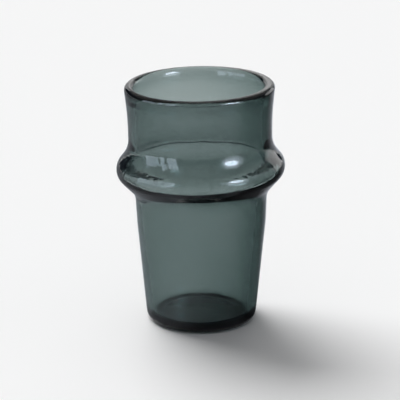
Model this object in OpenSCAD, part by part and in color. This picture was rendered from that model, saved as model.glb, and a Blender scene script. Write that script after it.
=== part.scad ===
// Chai glass: one piece of mould-blown glass, turned about the Z axis.
// A tapered cup stands on a shallow hollow foot, a hollow ring bulges out above it,
// and a collar with a thick fire-polished lip flares gently to the mouth.
// Millimetres, +Z up, origin at the middle of the foot on the table.

/* [Cup] */
// Diameter that the cup's taper reaches at the table, before the foot is rounded
foot_d = 40.6; // [36:0.1:46]
// Rounding between the foot and the side
foot_round = 2.8; // [0.5:0.1:4]
// Diameter at the top of the taper
band_d = 47.6; // [43:0.1:50]
// Height of the top of the taper, where the nearly upright band begins
band_z = 37.7; // [30:0.1:43]
// Radius of the soft bend between the taper and the band
band_round = 110; // [10:1:150]
// Diameter that the band reaches at the height of the ring's widest line
neck_d = 49.4; // [46:0.1:52]

/* [Ring] */
// Diameter of the ring at its widest
ring_d = 61.9; // [57:0.1:68]
// Height of the ring's widest line above the table
ring_z = 58.6; // [54:0.1:68]
// Radius of the ring's nose
ring_round = 5.2; // [3:0.1:6]
// Slope of the ring's underside, from the upright
underside_deg = 42; // [34:0.5:55]
// Slope of the ring's upper side, from the upright
shoulder_deg = 39; // [32:0.5:50]
// Hollow radius between the band and the ring
neck_round = 7.4; // [1:0.1:10]
// Hollow radius between the ring and the collar
shoulder_round = 10.8; // [2:0.1:14]

/* [Collar] */
// Diameter of the upright part of the collar
waist_d = 52.6; // [49:0.1:54.5]
// Height of the collar, from the ring's widest line to the lip
collar_h = 31.4; // [26:0.1:44]
// Height of the flared part of the collar, measured down from the lip
flare_h = 11.8; // [6:0.1:15]
// Outside diameter of the mouth
mouth_d = 55.1; // [53:0.1:59]
// Radius of the bend between the upright and the flared part
flare_round = 110; // [10:1:150]

/* [Glass] */
// Thickness of the cup's wall
cup_t = 3; // [1.8:0.1:4]
// Thickness of the collar's wall
collar_t = 3.1; // [1.8:0.1:4]
// Thickness of the lip
lip_t = 3.8; // [2:0.1:5]
// Rounding of the lip's two edges
lip_round = 1.8; // [0.5:0.1:2.4]
// Height of the floor inside the cup, above the table
floor_t = 3.6; // [2.6:0.1:8]
// Rounding inside, between the floor and the wall
floor_round = 4; // [1:0.1:8]

/* [Inside the ring] */
// Thickness of the wall at the ring's nose
ring_t = 2.5; // [1.6:0.1:4]
// Radius inside the nose
hollow_round = 2.7; // [1:0.1:4]
// Slope of the hollow's two sides, from the upright
hollow_deg = 54; // [46:0.5:58]
// Radius of the bulge between the cup and the hollow
hollow_neck_round = 7.1; // [1:0.1:10]
// Radius of the bulge between the hollow and the collar
hollow_waist_round = 8.9; // [1:0.1:12]

/* [Underside] */
// Diameter of the hollow under the floor
punt_d = 29; // [18:0.5:33]
// Depth of the hollow under the floor
punt_h = 0.9; // [0.3:0.1:1.8]

/* [Hidden] */
$fn = 128;

// Total height
height = ring_z + collar_h;
// Turn of the outline between two points of a round stretch, in degrees
arc_step = 3;
// Fewest steps in a round stretch
arc_least = 6;
// Share of a straight stretch that the rounds at its two ends may take up between them
round_share = 0.98;
// Half angle from which a corner counts as straight and gets no round
straight = 89.99;

function unit(v) = v / norm(v);
function cross2(a, b) = a[0] * b[1] - a[1] * b[0];
function turned(v, deg) = [v[0] * cos(deg) - v[1] * sin(deg), v[0] * sin(deg) + v[1] * cos(deg)];
// A line is [point, direction]. Where two lines meet:
function meet(a, b) = a[0] + a[1] * cross2(b[0] - a[0], b[1]) / cross2(a[1], b[1]);
// The line that touches a round and leans towards the axis by an angle from the upright
function tangent(centre, r, deg) = [centre + r * turned([1, 0], deg), turned([0, 1], deg)];
// A line of the outer face, moved in by the thickness of the wall
function inside(line, t) = [line[0] + t * turned(unit(line[1]), 90), line[1]];
// The point that lies inside the soft corner where line a turns into line b, which starts there
function inside_corner(a, b, t) =
    let (u = unit(a[1]), v = unit(b[1]))
    b[0] + t * turned(u + v, 90) / (1 + u * v);

// The outer face, upwards: the band and the collar stand nearly upright,
// and the ring's two flanks are tangents to its nose
nose = [ring_d / 2 - ring_round, ring_z];
taper_line = [[foot_d / 2, 0], [(band_d - foot_d) / 2, band_z]];
band_line = [[band_d / 2, band_z], [(neck_d - band_d) / 2, ring_z - band_z]];
underside_line = tangent(nose, ring_round, -underside_deg);
shoulder_line = tangent(nose, ring_round, shoulder_deg);
waist_line = [[waist_d / 2, ring_z], [0, 1]];
flare_line = [[waist_d / 2, height - flare_h], [(mouth_d - waist_d) / 2, flare_h]];

// The ring's hollow has flatter sides than the ring, because the blown glass stretches thin
// on its way into the mould's groove and stays thick above and below it
hollow_nose = [ring_d / 2 - ring_t - hollow_round, ring_z];
hollow_under_line = tangent(hollow_nose, hollow_round, -hollow_deg);
hollow_upper_line = tangent(hollow_nose, hollow_round, hollow_deg);
inner_band = inside_corner(taper_line, band_line, cup_t);
inner_flare = inside_corner(waist_line, flare_line, collar_t);
floor_line = [[0, floor_t], [1, 0]];

// Corners of the whole outline, each [point, radius]: along the foot, up the outer face,
// over the lip, down the inner face and along the floor to the axis
glass_corners = [
    [[punt_d / 2, 0], 0],
    [taper_line[0], foot_round],
    [band_line[0], band_round],
    [meet(band_line, underside_line), neck_round],
    [meet(underside_line, shoulder_line), ring_round],
    [meet(shoulder_line, waist_line), shoulder_round],
    [flare_line[0], flare_round],
    [[mouth_d / 2, height], lip_round],
    [[mouth_d / 2 - lip_t, height], lip_round],
    [inner_flare, flare_round + collar_t],
    [meet(inside(waist_line, collar_t), hollow_upper_line), hollow_waist_round],
    [meet(hollow_upper_line, hollow_under_line), hollow_round],
    [meet(hollow_under_line, inside(band_line, cup_t)), hollow_neck_round],
    [inner_band, band_round - cup_t],
    [meet([inner_band, taper_line[1]], floor_line), floor_round],
    [[0, floor_t], 0]
];

// Half of the angle at a corner, the length that its round takes from each neighbouring stretch,
// and the share of that length that fits on the stretch after the corner
function half_angle(c, i) = acos(max(-1, unit(c[i - 1][0] - c[i][0]) * unit(c[i + 1][0] - c[i][0]))) / 2;
function is_round(c, i) = c[i][1] > 0 && half_angle(c, i) < straight;
function reach(c, i) = is_round(c, i) ? c[i][1] / tan(half_angle(c, i)) : 0;
function room(c, i) =
    let (wanted = reach(c, i) + reach(c, i + 1))
    wanted == 0 ? 1 : min(1, round_share * norm(c[i + 1][0] - c[i][0]) / wanted);

// Points of the round at a corner, limited by the straight stretches beside it
function rounded(c, i) =
    let (p = c[i][0],
         u = unit(c[i - 1][0] - p),
         v = unit(c[i + 1][0] - p),
         half = half_angle(c, i),
         r = c[i][1] * min(room(c, i - 1), room(c, i)),
         centre = p + unit(u + v) * r / sin(half),
         start = p + u * r / tan(half) - centre,
         turn = sign(cross2(v, u)) * (180 - 2 * half),
         steps = max(arc_least, ceil(abs(turn) / arc_step)))
    [for (k = [0 : steps]) centre + turned(start, turn * k / steps)];
function outline(c) = [for (i = [0 : len(c) - 1]) each is_round(c, i) ? rounded(c, i) : [c[i][0]]];

// Spherical hollow under the floor, from the axis out to the foot
function punt_points() =
    let (r = (pow(punt_d / 2, 2) + pow(punt_h, 2)) / (2 * punt_h),
         sweep = asin(punt_d / 2 / r))
    [for (k = [0 : arc_least - 1]) [0, punt_h - r] + r * turned([0, 1], -sweep * k / arc_least)];

module glass() {
    color([0.33, 0.41, 0.41, 0.6])
        rotate_extrude()
            polygon(concat(punt_points(), outline(glass_corners)));
}

glass();
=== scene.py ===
# %% [markdown]
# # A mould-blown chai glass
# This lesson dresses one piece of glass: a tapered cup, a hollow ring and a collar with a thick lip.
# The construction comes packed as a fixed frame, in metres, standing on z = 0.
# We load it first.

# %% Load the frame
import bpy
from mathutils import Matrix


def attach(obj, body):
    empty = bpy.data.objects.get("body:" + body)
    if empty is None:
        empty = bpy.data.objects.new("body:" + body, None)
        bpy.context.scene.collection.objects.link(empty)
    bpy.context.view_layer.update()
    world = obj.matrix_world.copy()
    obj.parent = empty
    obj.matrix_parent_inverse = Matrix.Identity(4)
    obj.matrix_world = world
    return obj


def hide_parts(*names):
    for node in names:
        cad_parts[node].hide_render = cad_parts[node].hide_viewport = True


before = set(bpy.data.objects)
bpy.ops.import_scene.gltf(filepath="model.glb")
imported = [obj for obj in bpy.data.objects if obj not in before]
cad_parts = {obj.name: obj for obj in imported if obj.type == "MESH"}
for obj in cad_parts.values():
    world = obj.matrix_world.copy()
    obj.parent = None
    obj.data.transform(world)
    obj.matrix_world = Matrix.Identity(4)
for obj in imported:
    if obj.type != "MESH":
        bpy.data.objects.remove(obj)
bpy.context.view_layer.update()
print("frame nodes:", sorted(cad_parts))

# %% [markdown]
# ## Tools and units
# Sizes are easier to read in millimetres, so one name turns them to metres. The height of the packed
# glass is read from its mesh, because several steps below need it.

# %% Tools and units
import math

import bpy
import numpy as np
from mathutils import Vector

MM = 0.001
scene = bpy.context.scene
packed_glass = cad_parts["glass"].data
top = max(vertex.co.z for vertex in packed_glass.vertices)
print("height of the glass in mm:", round(top / MM, 2))

# %% [markdown]
# ## Colours, nodes and meshes
# Colours are written as sRGB hex values, the way a picture editor shows them, and one function turns
# them to the linear values that a shader needs. Materials are built by one small function that adds a
# node, sets its properties and its sockets, and links its inputs, so that a material reads like a recipe.
# Meshes are built from lists of points and faces, because a turned form is easiest to state that way.


# %% Helpers for colours, nodes and meshes
def linear(hex_colour):
    """Linear red, green and blue of a colour such as "#F6F6F6", by the formula of the sRGB standard."""
    shares = [int(hex_colour[i:i + 2], 16) / 255 for i in (1, 3, 5)]
    return [s / 12.92 if s <= 0.04045 else ((s + 0.055) / 1.055) ** 2.4 for s in shares]


def add_node(tree, kind, values=(), links=(), **settings):
    """Add a node with its properties, the values of its sockets and the links to its inputs."""
    node = tree.nodes.new(kind)
    for name, value in settings.items():
        setattr(node, name, value)
    for socket, value in dict(values).items():
        node.inputs[socket].default_value = value
    for socket, source in dict(links).items():
        tree.links.new(source, node.inputs[socket])
    return node


def new_material(name):
    """An empty node material."""
    material = bpy.data.materials.new(name)
    material.use_nodes = True
    material.node_tree.nodes.clear()
    return material


def add_mesh(name, points, faces, material):
    """An object made of points and faces, with one material."""
    mesh = bpy.data.meshes.new(name)
    mesh.from_pydata([tuple(p) for p in points], [], faces)
    mesh.materials.append(material)
    thing = bpy.data.objects.new(name, mesh)
    scene.collection.objects.link(thing)
    return thing


print("middle grey #808080 is", [round(c, 3) for c in linear("#808080")])

# %% [markdown]
# ## The camera
# The picture was taken from a little above the mouth with a long lens, so that the sides hardly converge.
# A long lens far away gives that look: here it is about 0.7 m away and looks 18 degrees down.

# %% Camera
TILT = math.radians(18.03)
AIM = Vector((-0.53, 0, 45.4)) * MM
DISTANCE = 702 * MM
LENS_MM = 170.7
SENSOR_MM = 36

camera = bpy.data.objects.new("camera", bpy.data.cameras.new("camera"))
scene.collection.objects.link(camera)
scene.camera = camera
camera.data.lens = LENS_MM
camera.data.sensor_width = SENSOR_MM
camera.location = AIM + DISTANCE * Vector((0, -math.cos(TILT), math.sin(TILT)))
camera.rotation_mode = "QUATERNION"
camera.rotation_quaternion = (AIM - camera.location).to_track_quat("-Z", "Y")
print("camera at", [round(c, 3) for c in camera.location])

# %% [markdown]
# ## The outline
# A turned solid is a stack of rings, so its outline is the list of ring radii and heights in the order in
# which the mesh joins them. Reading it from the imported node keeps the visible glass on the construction,
# with no second set of sizes. The straight stretches get more points, because blown glass is never quite
# straight.

# %% Read the outline off the turned solid
STEP = 1.2 * MM
LEAST_STEP = 0.24 * MM
SAME_RING = 0.005 * MM
DECIMALS = 6


def rings_in_order(mesh):
    """(radius, height) of each ring of a turned solid, from the middle of its underside to its floor."""
    points = np.array([vertex.co for vertex in mesh.vertices])
    places = np.stack([np.hypot(points[:, 0], points[:, 1]), points[:, 2]], axis=1).round(DECIMALS)
    places, which = np.unique(places, axis=0, return_inverse=True)
    apart = np.linalg.norm(places[:, None] - places, axis=2)
    ring = (apart < SAME_RING).argmax(axis=1)[which.ravel()]
    beside = {}
    for edge in mesh.edges:
        a, b = ring[list(edge.vertices)]
        if a != b:
            beside.setdefault(a, set()).add(b)
            beside.setdefault(b, set()).add(a)
    ends = [i for i in beside if len(beside[i]) == 1]
    walk = [min(ends, key=lambda i: places[i][1])]
    while len(walk) < len(beside):
        walk.append(next(i for i in beside[walk[-1]] if i not in walk[-2:]))
    return places[walk]


def spaced(outline):
    """The same outline with crowded points thinned out and long stretches filled in."""
    kept = [outline[0]]
    for point in outline[1:]:
        gap = np.linalg.norm(point - kept[-1])
        if gap >= LEAST_STEP:
            fill = np.linspace(0, 1, math.ceil(gap / STEP) + 1)[1:]
            kept += [kept[-1] + t * (point - kept[-1]) for t in fill]
    return np.array(kept)


rings = rings_in_order(packed_glass)
rings = np.vstack([rings, [0, rings[-1][1]]])
outline = spaced(rings)
print("rings in the solid:", len(rings), "points in the outline:", len(outline))

# %% [markdown]
# ## The corner inside
# A glass that is blown and finished by hand isn't perfectly turned. The next three cells move its points by
# about a millimetre or less. These are real shapes that bend what shows through the glass, so they are
# moved vertices and not bump. The first one is the corner inside, where the wall meets the floor: points
# near it move towards it, along the wall and the floor, which makes its round tighter.

# %% A tighter corner inside
CORNER_RADIUS, CORNER_Z = 17.62 * MM, 3.6 * MM
CORNER_NEAR, CORNER_FAR = 4 * MM, 9 * MM
CORNER_TIGHT = 0.5


def tight_corner(radius, z, inside):
    """The share by which points near the corner move outwards, and their new heights."""
    apart = np.hypot(radius - CORNER_RADIUS, z - CORNER_Z)
    tight = np.where(inside, np.interp(apart, [CORNER_NEAR, CORNER_FAR], [CORNER_TIGHT, 1]), 1)
    outward = 1 + (tight - 1) * (1 - CORNER_RADIUS / radius)
    return outward, CORNER_Z + (z - CORNER_Z) * tight


print("distances from the corner shrink to a share of", CORNER_TIGHT)

# %% [markdown]
# ## Thick and thin places
# The mould shapes the outer face, but the inner face is left to the breath of the maker, so the wall is
# thicker here and thinner there. It wanders a little all over. It is thinner below the ring in front, and
# in the ring's flanks at the front right and the front left. At the back the roof of the ring's hollow
# hangs lower. The reheated lip has run into a slight bead.

# %% Thick and thin places of the wall
WALL_WANDER = 0.16 * MM
SLOW_WAVES, SLOW_CLIMB = 2, 23 * MM
FAST_WAVES, FAST_CLIMB, FAST_START = 3, 17 * MM, 1
NECK_THIN, NECK_THIN_AT, NECK_THIN_WIDE = 0.8 * MM, 53 * MM, 4 * MM
NECK_SHARP = 3
FLANK_THIN, FLANK_THIN_AT, FLANK_THIN_WIDE = 0.9 * MM, 58.5 * MM, 3 * MM
FLANK_TURNS = math.radians(-42), math.radians(-138)
FLANK_SHARP = 6
HANG, HANG_AT, HANG_WIDE = 0.6 * MM, 61 * MM, 3.2 * MM
HANG_TURN = math.radians(115)
BEAD, BEAD_AT, BEAD_WIDE = 0.35 * MM, 86.5 * MM, 1.8 * MM


def bell(z, middle, wide):
    """1 at the middle height, fading to nearly 0 at twice the width above and below."""
    return np.exp(-((z - middle) / wide) ** 2)


def wall_moves(turn, front, z):
    """How far each point of the inner face moves outwards."""
    slow = np.sin(turn * SLOW_WAVES + z / SLOW_CLIMB)
    fast = np.sin(turn * FAST_WAVES - z / FAST_CLIMB + FAST_START)
    neck = NECK_THIN * front ** NECK_SHARP * bell(z, NECK_THIN_AT, NECK_THIN_WIDE)
    thinner = WALL_WANDER * (slow + fast) / 2 + neck
    flank = sum(np.maximum(np.cos(turn - side), 0) ** FLANK_SHARP for side in FLANK_TURNS)
    thinner = thinner + FLANK_THIN * flank * bell(z, FLANK_THIN_AT, FLANK_THIN_WIDE)
    hang = HANG * np.maximum(np.cos(turn - HANG_TURN), 0) * bell(z, HANG_AT, HANG_WIDE)
    return thinner - hang - BEAD * bell(z, BEAD_AT, BEAD_WIDE)


print("thinner below the ring by mm:", round(NECK_THIN / MM, 2), "bead at the lip:", round(BEAD / MM, 2))

# %% [markdown]
# ## Tilt, lean and oval
# Glass that is turned by hand while it is soft sags a little. Here the ring and the mouth tilt a degree or
# two, the upper part leans, and the whole is slightly oval, more so towards the mouth. In front the upper
# side of the ring is fuller. The bubble that makes the inside sits off the middle, and its floor is a
# little deeper.

# %% From a perfect turning to a made one
LEAST_RADIUS = 1 * MM
RING_TILT = math.tan(math.radians(1.76))
MOUTH_TILT = math.tan(math.radians(1.07))
LEAN = math.tan(math.radians(-0.86))
LEAN_FROM = 40 * MM
RING_FROM, RING_TO = 54 * MM, 62 * MM
OVAL_SHARE, OVAL_TURN = 0.004, 0.6
FULLER, FULLER_AT, FULLER_WIDE = 0.6 * MM, 63 * MM, 4.8 * MM
INSIDE_FROM = 15 * MM
OFF_RIGHT = -0.4 * MM
OFF_BACK = -0.3 * MM
FLOOR_DROP = 0.5 * MM


def hand_made(points, inside):
    """Move the points of a perfectly turned glass to where a maker's hand leaves them."""
    x, y, z = points.T
    turn = np.arctan2(y, x)
    radius = np.maximum(np.hypot(x, y), LEAST_RADIUS)
    front = np.maximum(-y / radius, 0)
    outward, z = tight_corner(radius, z, inside)
    moved = np.where(inside & (radius > INSIDE_FROM), wall_moves(turn, front, z), 0)
    # Both faces: an oval that grows with the height, and the fuller front of the ring
    oval = 1 + OVAL_SHARE * np.cos(2 * turn + OVAL_TURN) * z / top
    share = (oval + (moved + FULLER * front * bell(z, FULLER_AT, FULLER_WIDE)) / radius) * outward
    x, y = x * share, y * share
    # Tilt, lean and the place of the bubble
    tilt = np.interp(z, [LEAN_FROM, RING_FROM, RING_TO, top], [0, RING_TILT, RING_TILT, MOUTH_TILT])
    lean = LEAN * np.maximum(z - LEAN_FROM, 0)
    back = OFF_BACK * np.clip((z - RING_TO) / (top - RING_TO), 0, 1)
    z = z - inside * FLOOR_DROP * np.clip(1 - z / INSIDE_FROM, 0, 1)
    return np.stack([x + lean + inside * OFF_RIGHT, y + inside * back, z + tilt * x], axis=1)


print("bubble off the middle in mm:", round(OFF_RIGHT / MM, 2))

# %% [markdown]
# ## Smoke-grey glass
# Soda-lime glass is clear by itself, and a little metal oxide in the melt makes this one smoke grey-green
# all through. So the colour isn't painted on the surface: it is light that the glass takes away along its
# path, and thick places are darker. We state the colour that one wall lets through and work the absorption
# out from it.
# The surface froze against a mould while the glass turned in it. That leaves a ripple a few millimetres
# across, strongest at the ring, where the mould's groove is deep, and finer lines round the glass. They
# make the mirrored lights ragged at their edges and the glass look worked.

# %% Mould-blown smoke glass
WALL = 3.1 * MM
ONE_WALL = "#9CA9A8"
GLASS_IOR = 1.52
RIPPLE_SIZE = 2.5 * MM
RIPPLE_DETAIL = 2.0
RIPPLE_DEEP = 0.12 * MM
RIPPLE_AT = 61 * MM
RIPPLE_REACH = 12 * MM
RIPPLE_REST = 0.15
LINE_LONG = 40 * MM
LINE_HIGH = 1.1 * MM
LINE_DETAIL = 2.0
LINE_DEEP = 0.012 * MM
DULL_FROM, DULL_TO = 0.5, 0.8
DULLEST = 0.03


def smoke_glass():
    """Through-coloured soda-lime glass with the faint ripple of a chilled mould."""
    material = new_material("soda_lime_glass_mould_blown_smoke")
    tree = material.node_tree
    taken = [-math.log(share) / WALL for share in linear(ONE_WALL)]
    density = max(taken)
    colour = [1 - t / density for t in taken] + [1]
    absorb = add_node(tree, "ShaderNodeVolumeAbsorption", {"Color": colour, "Density": density})
    place = add_node(tree, "ShaderNodeTexCoord")
    ripple = add_node(tree, "ShaderNodeTexNoise", {"Scale": 1 / RIPPLE_SIZE, "Detail": RIPPLE_DETAIL},
                      {"Vector": place.outputs["Object"]})
    # The mapping carries the lines' real sizes, so their noise keeps a scale of 1
    around = add_node(tree, "ShaderNodeMapping", {"Scale": (1 / LINE_LONG, 1 / LINE_LONG, 1 / LINE_HIGH)},
                      {"Vector": place.outputs["Object"]})
    lines = add_node(tree, "ShaderNodeTexNoise", {"Scale": 1.0, "Detail": LINE_DETAIL},
                     {"Vector": around.outputs["Vector"]})
    # Both patterns are strongest at the ring and fade to a rest above and below it
    parts = add_node(tree, "ShaderNodeSeparateXYZ", links={"Vector": place.outputs["Object"]})
    above = add_node(tree, "ShaderNodeMath", {1: RIPPLE_AT}, {0: parts.outputs["Z"]}, operation="SUBTRACT")
    away = add_node(tree, "ShaderNodeMath", links={0: above.outputs[0]}, operation="ABSOLUTE")
    strong = add_node(tree, "ShaderNodeMapRange",
                      {"From Max": RIPPLE_REACH, "To Min": 1.0, "To Max": RIPPLE_REST},
                      {"Value": away.outputs[0]})
    rippled = add_node(tree, "ShaderNodeBump", {"Distance": RIPPLE_DEEP},
                       {"Height": ripple.outputs["Fac"], "Strength": strong.outputs["Result"]})
    lined = add_node(tree, "ShaderNodeBump", {"Distance": LINE_DEEP}, {
        "Height": lines.outputs["Fac"], "Normal": rippled.outputs["Normal"],
        "Strength": strong.outputs["Result"]})
    dull = add_node(tree, "ShaderNodeMapRange",
                    {"From Min": DULL_FROM, "From Max": DULL_TO, "To Max": DULLEST},
                    {"Value": lines.outputs["Fac"]})
    surface = add_node(tree, "ShaderNodeBsdfPrincipled", {
        "Base Color": (1, 1, 1, 1), "IOR": GLASS_IOR, "Transmission Weight": 1.0}, {
        "Roughness": dull.outputs["Result"], "Normal": lined.outputs["Normal"]})
    add_node(tree, "ShaderNodeOutputMaterial", links={
        "Surface": surface.outputs["BSDF"], "Volume": absorb.outputs["Volume"]})
    print("absorbed per millimetre:", [round(t * MM, 3) for t in taken])
    return material


print("one wall lets through:", [round(share, 2) for share in linear(ONE_WALL)])

# %% [markdown]
# ## One closed skin
# The outline is turned about the axis with quads between its rings and one point at each end. The skin has
# to be closed, because the light that the glass takes away is counted from where a ray enters to where it
# leaves.

# %% Turn the outline
TURNS = 272


def turned_glass(name, outline):
    """A closed mesh: the outline turned about z, with one point at each end on the axis."""
    angles = np.arange(TURNS) * 2 * math.pi / TURNS
    middle = outline[1:-1]
    circle = np.stack([np.cos(angles), np.sin(angles), np.zeros(TURNS)], axis=1)
    ring_points = [r * circle + (0, 0, z) for r, z in middle]
    points = np.vstack([[0, 0, outline[0][1]], *ring_points, [0, 0, outline[-1][1]]])
    lip = int(np.argmax(middle[:, 1]))
    inside = np.arange(len(points)) > 1 + lip * TURNS
    last = len(points) - 1
    end = last - TURNS
    faces = []
    for j in range(TURNS):
        k = (j + 1) % TURNS
        faces.append((0, 1 + k, 1 + j))
        faces += [(low + j, low + k, low + TURNS + k, low + TURNS + j) for low in range(1, end, TURNS)]
        faces.append((end + j, end + k, last))
    piece = add_mesh(name, hand_made(points, inside), faces, smoke_glass())
    piece.data.shade_smooth()
    return piece


glass = turned_glass("chai_glass", outline)
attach(glass, "root")
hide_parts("glass")
print("glass faces:", len(glass.data.polygons))

# %% [markdown]
# ## The floor
# A big sheet of pale matt paper. It is a plain diffuse surface at a plain level of light, so it renders
# about as pale as it is written, shows through the glass and keeps the glass's shadow.

# %% Floor
FLOOR_GAP = 0.1 * MM
FLOOR_HALF = 6.0
CORNERS = (-1, -1), (1, -1), (1, 1), (-1, 1)
PALE = "#F6F6F6"


def matt_paper(name, colour):
    """A matt surface of one colour."""
    material = new_material(name)
    tree = material.node_tree
    matt = add_node(tree, "ShaderNodeBsdfDiffuse", {"Color": linear(colour) + [1]})
    add_node(tree, "ShaderNodeOutputMaterial", links={"Surface": matt.outputs["BSDF"]})
    return material


floor_corners = [(FLOOR_HALF * a, FLOOR_HALF * b, -FLOOR_GAP) for a, b in CORNERS]
floor = add_mesh("floor", floor_corners, [(0, 1, 2, 3)], matt_paper("paper_matt_pale", PALE))
print("floor size in m:", 2 * FLOOR_HALF)

# %% [markdown]
# ## How a lamp is placed
# Glass has almost no colour of its own to catch light with: it shows what stands around it. So a lamp is
# stated by what the glass sees of it: the azimuths and elevations that it fills, in degrees, and how bright
# it looks. The boxes keep their light off the paper, so that the floor stays even.

# %% Helpers for lamps
BOX_DISTANCE = 1.0


def towards(azimuth, elevation):
    """The way from the glass to a place, in degrees to the right of the camera and above the floor."""
    a, e = math.radians(azimuth), math.radians(elevation)
    return Vector((math.sin(a) * math.cos(e), -math.cos(a) * math.cos(e), math.sin(e)))


def add_lamp(name, kind, azimuth, elevation, colour):
    """A lamp that faces the glass."""
    lamp = bpy.data.objects.new(name, bpy.data.lights.new(name, kind))
    lamp.data.color = linear(colour)
    way = towards(azimuth, elevation)
    lamp.location = way * BOX_DISTANCE + Vector((0, 0, top / 2))
    lamp.rotation_mode = "QUATERNION"
    lamp.rotation_quaternion = (-way).to_track_quat("-Z", "Y")
    scene.collection.objects.link(lamp)
    return lamp


def soft_box(name, shape, azimuths, elevations, radiance, colour):
    """A flat lamp that fills a range of azimuths and elevations, as bright as stated."""
    lamp = add_lamp(name, "AREA", sum(azimuths) / 2, sum(elevations) / 2, colour)
    lamp.data.shape = shape
    lamp.data.size = 2 * BOX_DISTANCE * math.tan(math.radians(azimuths[1] - azimuths[0]) / 2)
    lamp.data.size_y = 2 * BOX_DISTANCE * math.tan(math.radians(elevations[1] - elevations[0]) / 2)
    area = lamp.data.size * lamp.data.size_y * (math.pi / 4 if shape == "ELLIPSE" else 1)
    lamp.data.energy = radiance * math.pi * area
    lamp.visible_camera = False
    lamp.visible_diffuse = False
    return lamp


print("straight ahead of the glass is", list(towards(0, 0)))

# %% [markdown]
# ## The lamps
# A broad soft key from behind lights the paper that shows through. It stays out of the mirror, as a lamp
# behind a screen would. A round soft box on the right, brightest in its middle, and a window with bars on
# the left leave the bright patches on the shoulder, the ring and the lip. Two dim boxes behind draw the
# pale ends of the ring and the lip. Each box below is a name, its azimuths, its elevations and its glow.

# %% Lamps
WHITE = "#FFFFFF"
BOX_COLOUR = "#E2EEFF"
WINDOW_COLOUR = "#E0EEFF"
KEY_AZIMUTH, KEY_ELEVATION, KEY_SOFT = -145, 45, 45
KEY_SHARE = 0.65
ROUND_BOXES = [
    ("right_box", (31, 68), (-2, 40), 2.5),
    ("right_box_middle", (35, 63), (6, 38), 2.5),
    ("right_box_core", (39, 60), (16, 33), 13.0)]
BOXES_BEHIND = [
    ("right_back_box", (118, 150), (1, 22), 1.4),
    ("back_box", (155, 205), (4, 26), 0.65)]
PANES = [
    ("window_pane_0", (-93, -69), (-1, 26), 2.8),
    ("window_pane_1", (-66, -58), (-1, 36), 3.8),
    ("window_pane_2", (-53, -38), (-1, 36), 3.8)]

key = add_lamp("key", "SUN", KEY_AZIMUTH, KEY_ELEVATION, WHITE)
key.data.angle = math.radians(KEY_SOFT)
key.data.energy = KEY_SHARE * math.pi / math.sin(math.radians(KEY_ELEVATION))
key.visible_glossy = False
key.visible_transmission = False
for name, azimuths, elevations, glow in ROUND_BOXES:
    soft_box(name, "ELLIPSE", azimuths, elevations, glow, BOX_COLOUR)
for name, azimuths, elevations, glow in BOXES_BEHIND:
    back_box = soft_box(name, "RECTANGLE", azimuths, elevations, glow, WHITE)
# The last box is right behind the glass and would show through it
back_box.visible_transmission = False
for name, azimuths, elevations, glow in PANES:
    soft_box(name, "RECTANGLE", azimuths, elevations, glow, WINDOW_COLOUR)

# %% [markdown]
# ## A dark card that paints shade into the reflections
# Pale paper all round would lay a milky veil of reflections over the glass. Photographers of glass keep it
# dark with black cards near it. Ours lies on the floor round the glass and is seen only in reflections: it
# is painted shade in the mirrored paper, and the paper itself stays clean. It is feathered: it hides less
# than half of the mirrored paper in front, two thirds at the left, nearly all at the right, where the glass
# is darkest, and hardly any at the back. The card's mesh carries these four shares, which is easier to read
# than a chain of nodes.

# %% Dark card
CARD_DROP = 0.05 * MM
CARD_STEPS = 68
# The card's painted shade: black where it covers, and a faint cool tint on the mirrored paper where it
# doesn't
CARD_PAINTED_SHADE = "#080808"
CARD_CLEAR = "#F0F5FF"
CARD_INNER, CARD_OUTER = 22 * MM, 1500 * MM
LEFT_SHOWN, FRONT_SHOWN, RIGHT_SHOWN, BACK_SHOWN = 0.33, 0.6, 0.08, 0.9
CARD_AZIMUTHS = (-170, -80, -40, 45, 70, 125, 170)
CARD_SHOWN = (LEFT_SHOWN, LEFT_SHOWN, FRONT_SHOWN, FRONT_SHOWN, RIGHT_SHOWN, RIGHT_SHOWN, BACK_SHOWN)


def painted_shade_material():
    """A black card seen only in reflections: painted shade where its mesh says it covers, and a faint cool
    tint on what it lets through.
    """
    material = new_material("card_painted_shade_feathered")
    tree = material.node_tree
    cover = add_node(tree, "ShaderNodeAttribute", attribute_name="cover")
    clear = add_node(tree, "ShaderNodeBsdfTransparent", {"Color": linear(CARD_CLEAR) + [1]})
    black = add_node(tree, "ShaderNodeBsdfDiffuse", {"Color": linear(CARD_PAINTED_SHADE) + [1]})
    mix = add_node(tree, "ShaderNodeMixShader", links={
        0: cover.outputs["Fac"], 1: clear.outputs["BSDF"], 2: black.outputs["BSDF"]})
    add_node(tree, "ShaderNodeOutputMaterial", links={"Surface": mix.outputs["Shader"]})
    return material


card_ways = np.linspace(CARD_AZIMUTHS[0], CARD_AZIMUTHS[-1], CARD_STEPS + 1)
card_edges = (CARD_INNER, CARD_OUTER)
drop = Vector((0, 0, -CARD_DROP))
card_points = [radius * towards(a, 0) + drop for radius in card_edges for a in card_ways]
row = CARD_STEPS + 1
card_faces = [(i, i + 1, i + row + 1, i + row) for i in range(CARD_STEPS)]
card = add_mesh("painted_shade_card", card_points, card_faces, painted_shade_material())
cover = np.tile(1 - np.interp(card_ways, CARD_AZIMUTHS, CARD_SHOWN), len(card_edges))
card.data.attributes.new("cover", "FLOAT", "POINT").data.foreach_set("value", cover)
card.visible_camera = False
card.visible_diffuse = False
card.visible_transmission = False
card.visible_shadow = False
print("dark card covers", round(cover.min(), 2), "to", round(cover.max(), 2))

# %% [markdown]
# ## The rest of the room
# Behind the glass hangs a narrow bright backdrop, which shows in the top of the lip and on the floor of the
# cup. The ceiling glows softly, and the rest of the room is dim and cool, which leaves the darkest places of
# the glass bluish. The view transform is Standard, because the colours above are written as they should
# appear.

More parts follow.
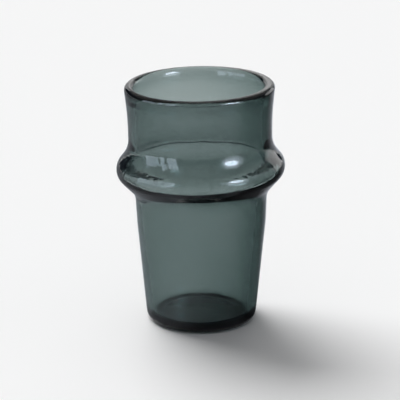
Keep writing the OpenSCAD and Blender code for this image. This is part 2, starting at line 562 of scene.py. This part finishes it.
# %% World and view
ROOM_GLOW = 0.06
ROOM_COLOUR = "#C4DAF8"
BACKDROP_GLOW = 0.95
BACKDROP_AZIMUTH, BACKDROP_ELEVATION = 180, 50
BACKDROP_FULL, BACKDROP_END = math.radians(25), math.radians(47)
BACKDROP_NARROW = 1.8
CEILING_GLOW = 0.28
CEILING_FROM, CEILING_TO = 0.3, 0.5

world = bpy.data.worlds.new("studio")
scene.world = world
world.use_nodes = True
tree = world.node_tree
tree.nodes.clear()
way = add_node(tree, "ShaderNodeTexCoord")
wide = add_node(tree, "ShaderNodeVectorMath", {1: (BACKDROP_NARROW, 1, 1)}, {0: way.outputs["Generated"]},
                operation="MULTIPLY")
unit = add_node(tree, "ShaderNodeVectorMath", links={0: wide.outputs["Vector"]}, operation="NORMALIZE")
facing = add_node(tree, "ShaderNodeVectorMath", {1: towards(BACKDROP_AZIMUTH, BACKDROP_ELEVATION)},
                  {0: unit.outputs["Vector"]}, operation="DOT_PRODUCT")
glow = add_node(tree, "ShaderNodeMapRange", {
    "From Min": math.cos(BACKDROP_END), "From Max": math.cos(BACKDROP_FULL), "To Max": BACKDROP_GLOW},
    {"Value": facing.outputs["Value"]}, interpolation_type="SMOOTHSTEP")
parts = add_node(tree, "ShaderNodeSeparateXYZ", links={"Vector": way.outputs["Generated"]})
ceiling = add_node(tree, "ShaderNodeMapRange", {
    "From Min": CEILING_FROM, "From Max": CEILING_TO, "To Min": ROOM_GLOW, "To Max": CEILING_GLOW},
    {"Value": parts.outputs["Z"]}, interpolation_type="SMOOTHSTEP")
both = add_node(tree, "ShaderNodeMath", links={0: glow.outputs["Result"], 1: ceiling.outputs["Result"]},
                operation="MAXIMUM")
# Lit places are white, and the dim ones take the room's cool colour
lit = add_node(tree, "ShaderNodeMapRange", {"From Min": ROOM_GLOW, "From Max": CEILING_GLOW},
               {"Value": both.outputs[0]})
tint = add_node(tree, "ShaderNodeMix", {6: linear(ROOM_COLOUR) + [1], 7: linear(WHITE) + [1]},
                {0: lit.outputs["Result"]}, data_type="RGBA")
room = add_node(tree, "ShaderNodeBackground", links={"Color": tint.outputs[2], "Strength": both.outputs[0]})
add_node(tree, "ShaderNodeOutputWorld", links={"Surface": room.outputs["Background"]})
scene.view_settings.view_transform = "Standard"
print("room glow:", ROOM_GLOW, "backdrop glow:", BACKDROP_GLOW)
